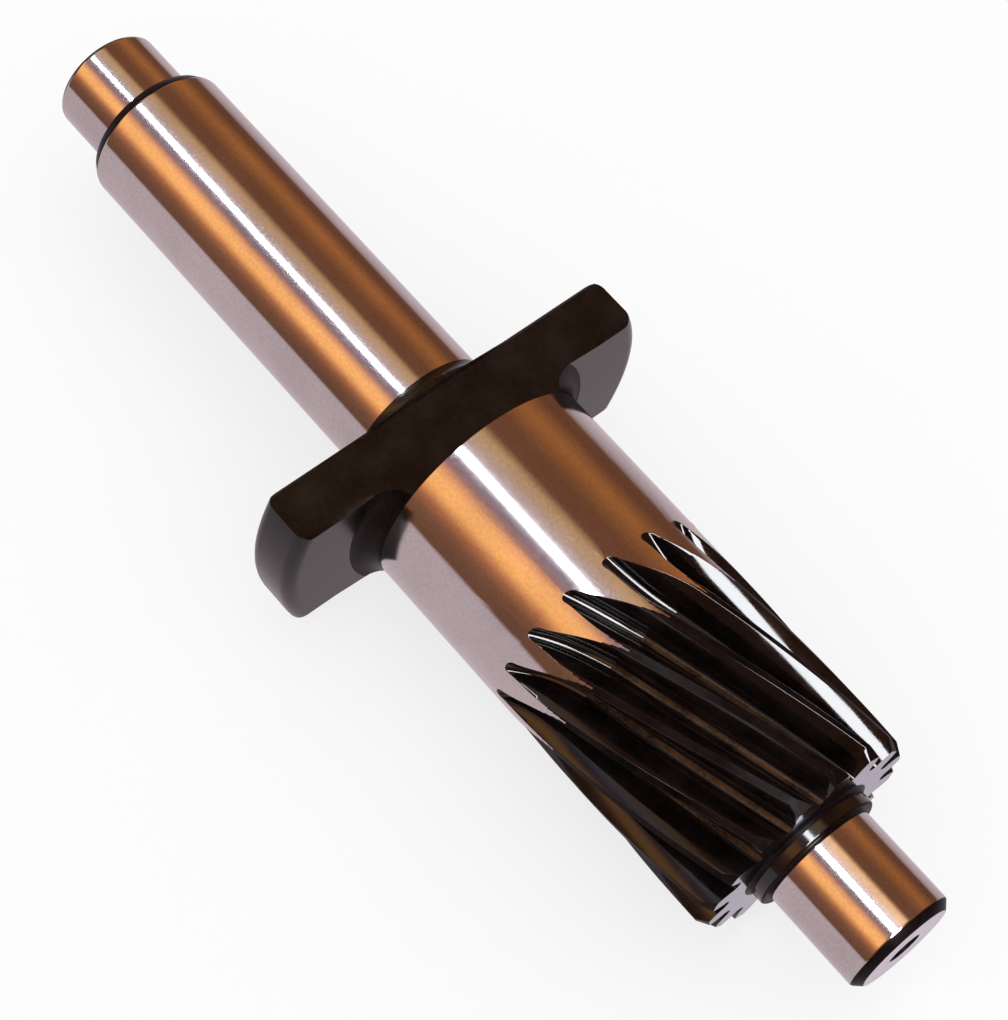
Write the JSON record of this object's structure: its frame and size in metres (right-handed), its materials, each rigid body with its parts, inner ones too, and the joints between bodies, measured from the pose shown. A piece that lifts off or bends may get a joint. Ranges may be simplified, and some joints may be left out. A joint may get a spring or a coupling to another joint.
{
  "type": "pinion shaft",
  "caption": "Stepped steel shaft with an integral helical pinion, a two-armed flange with flats, and ground bearing journals at both ends.",
  "frame": {"origin": "on the shaft axis, at mid length", "axes": "+X along the shaft axis towards the pinion end, +Y along an arm of the flange, +Z out of the upper flat of the flange"},
  "size_m": [0.1852, 0.0674, 0.038],
  "materials": {
    "steel": "ground bright on the journals, seat, barrel and tooth tips; black as-forged or heat-treated skin on the flange, fillets, tooth flanks and collar"
  },
  "bodies": {
    "root": {"pinion_shaft": "steel"}
  },
  "joints": []
}
